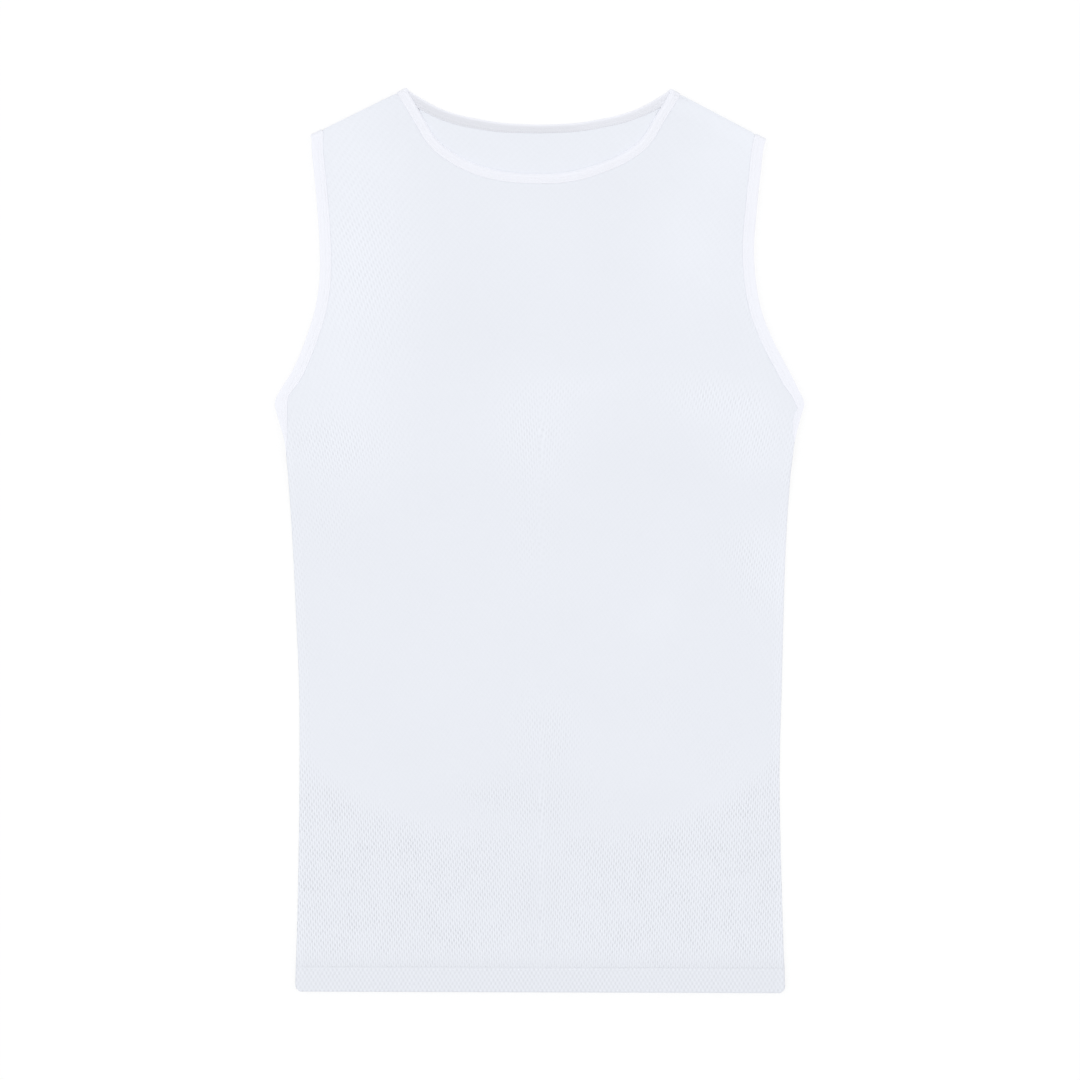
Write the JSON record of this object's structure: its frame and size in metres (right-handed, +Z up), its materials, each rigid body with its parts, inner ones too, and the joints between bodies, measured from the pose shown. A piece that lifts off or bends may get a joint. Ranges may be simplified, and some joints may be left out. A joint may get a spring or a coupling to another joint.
{
  "type": "sleeveless mesh t-shirt laid flat",
  "caption": "Sleeveless knit mesh t-shirt laid flat on a surface, with a bound neckline, bound armholes and a turned-up hem.",
  "frame": {"origin": "the ground under the middle of the shirt's outline as it lies flat", "axes": "+Y runs from the hem to the neck, +Z up out of the front of the shirt, +X to the right as it is seen from above"},
  "size_m": [0.4094, 0.7005, 0.0075],
  "materials": {
    "mesh_cloth": "white open knit mesh, matt, with small staggered oval holes",
    "binding_cloth": "white fine plain knit, matt, folded and stitched"
  },
  "bodies": {
    "root": {"front_panel": "mesh_cloth", "back_panel": "mesh_cloth", "neck_binding": "binding_cloth", "armhole_binding_left": "binding_cloth", "armhole_binding_right": "binding_cloth"}
  },
  "joints": []
}
